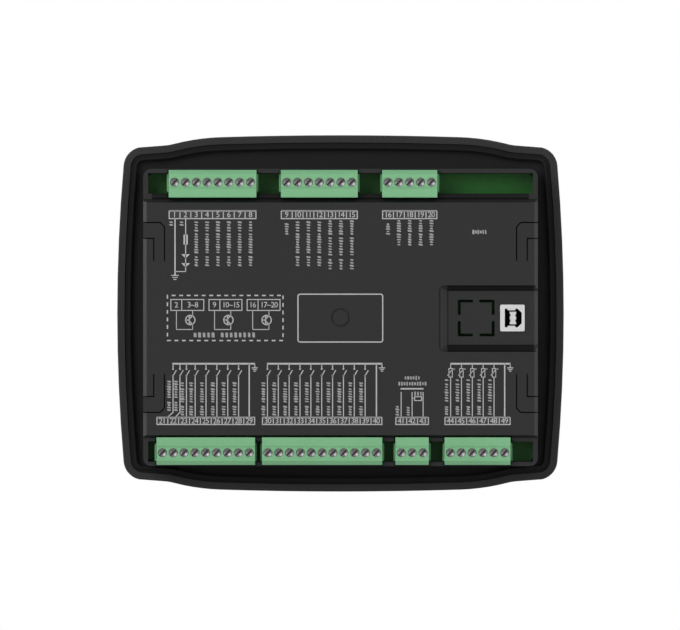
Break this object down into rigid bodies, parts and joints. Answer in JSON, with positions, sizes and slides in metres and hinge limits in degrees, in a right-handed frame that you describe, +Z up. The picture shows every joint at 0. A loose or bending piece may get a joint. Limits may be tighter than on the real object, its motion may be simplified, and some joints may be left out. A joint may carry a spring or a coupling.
{
  "type": "fan controller",
  "caption": "Panel-mounted fan controller with a display and keys in front, and pull-off screw terminal blocks and a service port on the rear cover.",
  "frame": {"origin": "middle of the bezel, in the plane of the rim that seats on the panel", "axes": "+Y out of the rear towards the terminals, -Y out of the display, +Z up, +X to the right seen from the front"},
  "size_m": [0.209, 0.0464, 0.1668],
  "materials": {
    "housing": "fine moulded texture",
    "seal_rubber": "matte",
    "overlay_film": "fine matte film",
    "clear_lens": "polished",
    "display_glass": "gloss",
    "foam": "open foam",
    "board": "solder mask",
    "plug_green": "smooth moulded",
    "header_green": "smooth moulded",
    "screw_steel": "zinc plated",
    "tinned_brass": "tin plated",
    "contact_gold": "gold flash",
    "port_white": "smooth moulded",
    "dark_plastic": "moulded",
    "key_plastic": "fine moulded texture",
    "light_pipe": "clear moulded",
    "can_aluminium": "drawn can"
  },
  "bodies": {
    "root": {"front_bezel": "housing", "front_overlay": "overlay_film", "display_lens": "clear_lens", "display_module": "display_glass", "display_cushion": "foam", "display_board": "board", "display_board_screws": "screw_steel", "key_switches": "dark_plastic", "light_pipes": "light_pipe", "status_leds": "port_white", "link_header": "dark_plastic", "link_pins": "contact_gold", "link_socket": "dark_plastic", "main_board": "board", "main_board_screws": "screw_steel", "processor": "dark_plastic", "capacitors": "can_aluminium", "coin_cell": "screw_steel", "coin_cell_holder": "dark_plastic", "rear_cover": "housing", "panel_gasket": "seal_rubber", "usb_housing": "port_white", "usb_contacts": "contact_gold", "header_pins": "tinned_brass", "header_1": "header_green", "header_2": "header_green", "header_3": "header_green", "header_4": "header_green", "header_5": "header_green", "header_6": "header_green", "header_7": "header_green"},
    "plug_1": {"plug_1": "plug_green", "plug_screws_1": "screw_steel", "plug_clamps_1": "tinned_brass"},
    "plug_2": {"plug_2": "plug_green", "plug_screws_2": "screw_steel", "plug_clamps_2": "tinned_brass"},
    "plug_3": {"plug_3": "plug_green", "plug_screws_3": "screw_steel", "plug_clamps_3": "tinned_brass"},
    "plug_4": {"plug_4": "plug_green", "plug_screws_4": "screw_steel", "plug_clamps_4": "tinned_brass"},
    "plug_5": {"plug_5": "plug_green", "plug_screws_5": "screw_steel", "plug_clamps_5": "tinned_brass"},
    "plug_6": {"plug_6": "plug_green", "plug_screws_6": "screw_steel", "plug_clamps_6": "tinned_brass"},
    "plug_7": {"plug_7": "plug_green", "plug_screws_7": "screw_steel", "plug_clamps_7": "tinned_brass"},
    "key_up": {"key_up": "key_plastic"},
    "key_down": {"key_down": "key_plastic"},
    "key_set": {"key_set": "key_plastic"},
    "key_back": {"key_back": "key_plastic"},
    "key_start": {"key_start": "key_plastic"},
    "key_stop": {"key_stop": "key_plastic"}
  },
  "joints": [
    {"name": "plug_1_pull", "type": "slide", "parent": "root", "child": "plug_1", "axis": [0, 1, 0], "range_m": [0, 0.02]},
    {"name": "plug_2_pull", "type": "slide", "parent": "root", "child": "plug_2", "axis": [0, 1, 0], "range_m": [0, 0.02]},
    {"name": "plug_3_pull", "type": "slide", "parent": "root", "child": "plug_3", "axis": [0, 1, 0], "range_m": [0, 0.02]},
    {"name": "plug_4_pull", "type": "slide", "parent": "root", "child": "plug_4", "axis": [0, 1, 0], "range_m": [0, 0.02]},
    {"name": "plug_5_pull", "type": "slide", "parent": "root", "child": "plug_5", "axis": [0, 1, 0], "range_m": [0, 0.02]},
    {"name": "plug_6_pull", "type": "slide", "parent": "root", "child": "plug_6", "axis": [0, 1, 0], "range_m": [0, 0.02]},
    {"name": "plug_7_pull", "type": "slide", "parent": "root", "child": "plug_7", "axis": [0, 1, 0], "range_m": [0, 0.02]},
    {"name": "key_up_press", "type": "slide", "parent": "root", "child": "key_up", "axis": [0, 1, 0], "range_m": [0, 0.0006], "stiffness_N_per_m": 400},
    {"name": "key_down_press", "type": "slide", "parent": "root", "child": "key_down", "axis": [0, 1, 0], "range_m": [0, 0.0006], "stiffness_N_per_m": 400},
    {"name": "key_set_press", "type": "slide", "parent": "root", "child": "key_set", "axis": [0, 1, 0], "range_m": [0, 0.0006], "stiffness_N_per_m": 400},
    {"name": "key_back_press", "type": "slide", "parent": "root", "child": "key_back", "axis": [0, 1, 0], "range_m": [0, 0.0006], "stiffness_N_per_m": 400},
    {"name": "key_start_press", "type": "slide", "parent": "root", "child": "key_start", "axis": [0, 1, 0], "range_m": [0, 0.0006], "stiffness_N_per_m": 400},
    {"name": "key_stop_press", "type": "slide", "parent": "root", "child": "key_stop", "axis": [0, 1, 0], "range_m": [0, 0.0006], "stiffness_N_per_m": 400}
  ]
}
